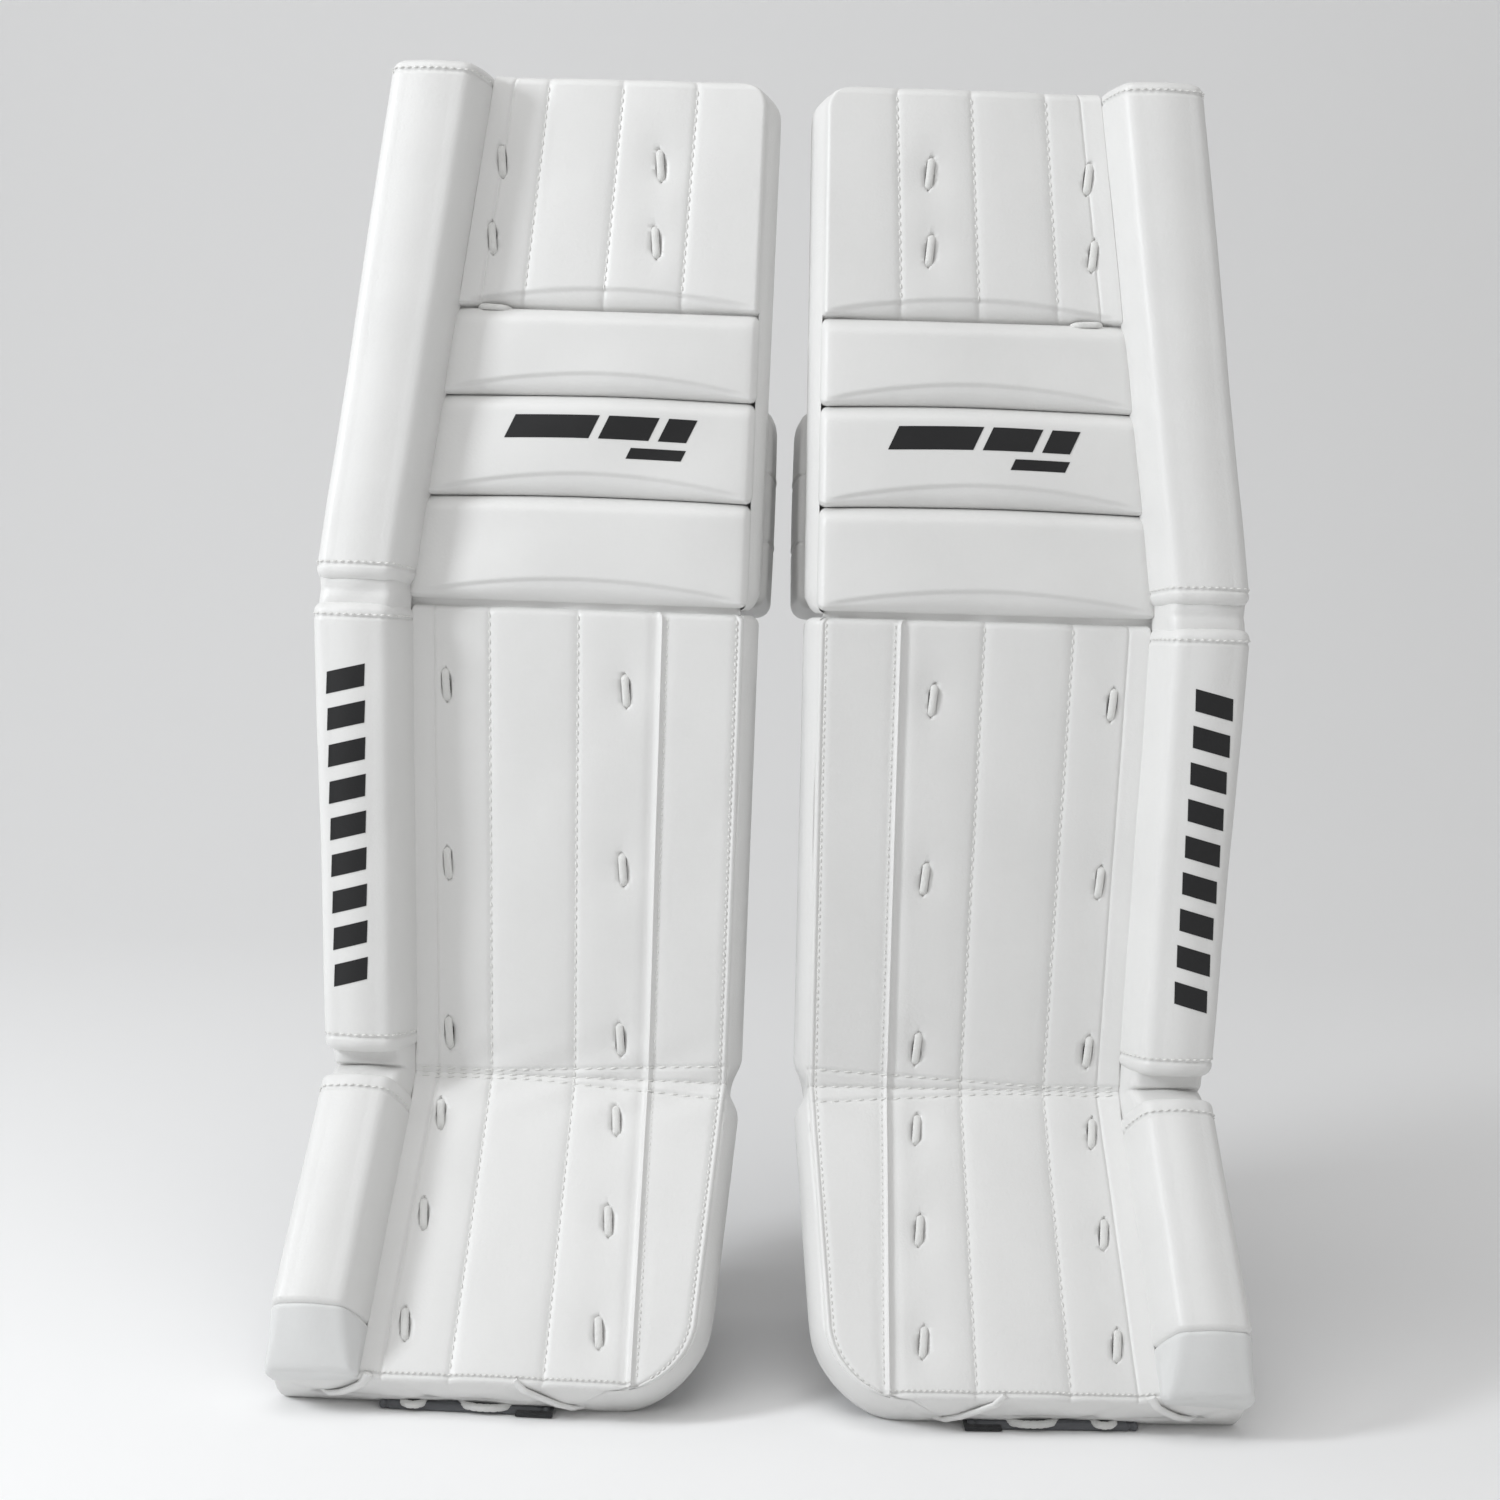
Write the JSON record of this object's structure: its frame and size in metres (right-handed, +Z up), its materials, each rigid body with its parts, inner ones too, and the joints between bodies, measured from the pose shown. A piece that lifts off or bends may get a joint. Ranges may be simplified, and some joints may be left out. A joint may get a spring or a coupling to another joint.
{
  "type": "goalie leg pads",
  "caption": "Pair of tall white padded leg guards with a rolled outer edge, horizontal knee rolls, laced front panels, a sloping boot, and straps, wings and a calf wrap behind.",
  "frame": {"origin": "on the floor, midway between the two pads and midway from the boots' toes to the knee wings", "axes": "+Z up the pads, -Y out of their front faces, +X towards the pad worn on the left leg"},
  "size_m": [0.5934, 0.33, 0.8229],
  "materials": {
    "white_leather": "semi-gloss synthetic leather with a fine grain",
    "lining": "soft brushed lining",
    "backing_fabric": "matt woven nylon over foam",
    "stiffener_sheet": "matt",
    "lace_cord": "woven cord",
    "bridge_leather": "matt grained",
    "webbing": "woven webbing",
    "hook_plastic": "moulded, satin"
  },
  "bodies": {
    "right_boot": {"right_boot_face": "white_leather", "right_boot_stiffener": "stiffener_sheet", "right_boot_core": "backing_fabric", "right_boot_outer_roll": "white_leather", "right_boot_walls": "lining", "right_toe_bridge": "bridge_leather", "right_boot_laces": "lace_cord"},
    "right_shin": {"right_shin_face": "white_leather", "right_shin_stiffener": "stiffener_sheet", "right_shin_core": "backing_fabric", "right_shin_outer_roll": "white_leather", "right_inner_riser": "lining", "right_outer_riser": "lining", "right_shin_cradle": "lining", "right_shin_laces": "lace_cord"},
    "right_upper": {"right_thigh_face": "white_leather", "right_knee_roll_top": "white_leather", "right_knee_roll_middle": "white_leather", "right_knee_roll_bottom": "white_leather", "right_upper_stiffener": "stiffener_sheet", "right_upper_core": "backing_fabric", "right_upper_outer_roll": "white_leather", "right_upper_laces": "lace_cord", "right_knee_block": "white_leather"},
    "right_calf_wrap": {"right_calf_wrap": "white_leather", "right_calf_strap": "webbing"},
    "right_knee_wing": {"right_knee_wing": "white_leather", "right_knee_strap": "webbing"},
    "right_boot_strap": {"right_boot_strap": "webbing", "right_boot_hook": "hook_plastic"},
    "left_boot": {"left_boot_face": "white_leather", "left_boot_stiffener": "stiffener_sheet", "left_boot_core": "backing_fabric", "left_boot_outer_roll": "white_leather", "left_boot_walls": "lining", "left_toe_bridge": "bridge_leather", "left_boot_laces": "lace_cord"},
    "left_shin": {"left_shin_face": "white_leather", "left_shin_stiffener": "stiffener_sheet", "left_shin_core": "backing_fabric", "left_shin_outer_roll": "white_leather", "left_inner_riser": "lining", "left_outer_riser": "lining", "left_shin_cradle": "lining", "left_shin_laces": "lace_cord"},
    "left_upper": {"left_thigh_face": "white_leather", "left_knee_roll_top": "white_leather", "left_knee_roll_middle": "white_leather", "left_knee_roll_bottom": "white_leather", "left_upper_stiffener": "stiffener_sheet", "left_upper_core": "backing_fabric", "left_upper_outer_roll": "white_leather", "left_upper_laces": "lace_cord", "left_knee_block": "white_leather"},
    "left_calf_wrap": {"left_calf_wrap": "white_leather", "left_calf_strap": "webbing"},
    "left_knee_wing": {"left_knee_wing": "white_leather", "left_knee_strap": "webbing"},
    "left_boot_strap": {"left_boot_strap": "webbing", "left_boot_hook": "hook_plastic"}
  },
  "joints": [
    {"name": "pads_apart", "type": "slide", "parent": "right_boot", "child": "left_boot", "axis": [1, 0, 0], "range_m": [0, 0.3]},
    {"name": "right_ankle_break", "type": "hinge", "parent": "right_boot", "child": "right_shin", "pos_m": [-0.15941, -0.01719, 0.17684], "axis": [0.999, -0.0436, 0], "range_deg": [-10, 13]},
    {"name": "right_knee_break", "type": "hinge", "parent": "right_shin", "child": "right_upper", "pos_m": [-0.15802, 0.01463, 0.47984], "axis": [0.999, -0.0436, 0], "range_deg": [-12, 6.5]},
    {"name": "right_calf_wrap_swing", "type": "hinge", "parent": "right_shin", "child": "right_calf_wrap", "pos_m": [-0.03084, 0.08487, 0.3106], "axis": [-0.0046, -0.1044, -0.9945], "range_deg": [0, 78]},
    {"name": "right_knee_wing_swing", "type": "hinge", "parent": "right_upper", "child": "right_knee_wing", "pos_m": [-0.26992, 0.06541, 0.55587], "axis": [0.0083, 0.1906, 0.9816], "range_deg": [0, 70]},
    {"name": "right_boot_strap_swing", "type": "hinge", "parent": "right_boot", "child": "right_boot_strap", "pos_m": [-0.23581, 0.06715, 0.075], "axis": [0, 0, 1], "range_deg": [0, 95]},
    {"name": "left_ankle_break", "type": "hinge", "parent": "left_boot", "child": "left_shin", "pos_m": [0.15941, -0.01719, 0.17684], "axis": [0.999, 0.0436, 0], "range_deg": [-10, 13]},
    {"name": "left_knee_break", "type": "hinge", "parent": "left_shin", "child": "left_upper", "pos_m": [0.15802, 0.01463, 0.47984], "axis": [0.999, 0.0436, 0], "range_deg": [-12, 6.5]},
    {"name": "left_calf_wrap_swing", "type": "hinge", "parent": "left_shin", "child": "left_calf_wrap", "pos_m": [0.03084, 0.08487, 0.3106], "axis": [-0.0046, 0.1044, 0.9945], "range_deg": [0, 78]},
    {"name": "left_knee_wing_swing", "type": "hinge", "parent": "left_upper", "child": "left_knee_wing", "pos_m": [0.26992, 0.06541, 0.55587], "axis": [0.0083, -0.1906, -0.9816], "range_deg": [0, 70]},
    {"name": "left_boot_strap_swing", "type": "hinge", "parent": "left_boot", "child": "left_boot_strap", "pos_m": [0.23581, 0.06715, 0.075], "axis": [0, 0, -1], "range_deg": [0, 95]}
  ]
}
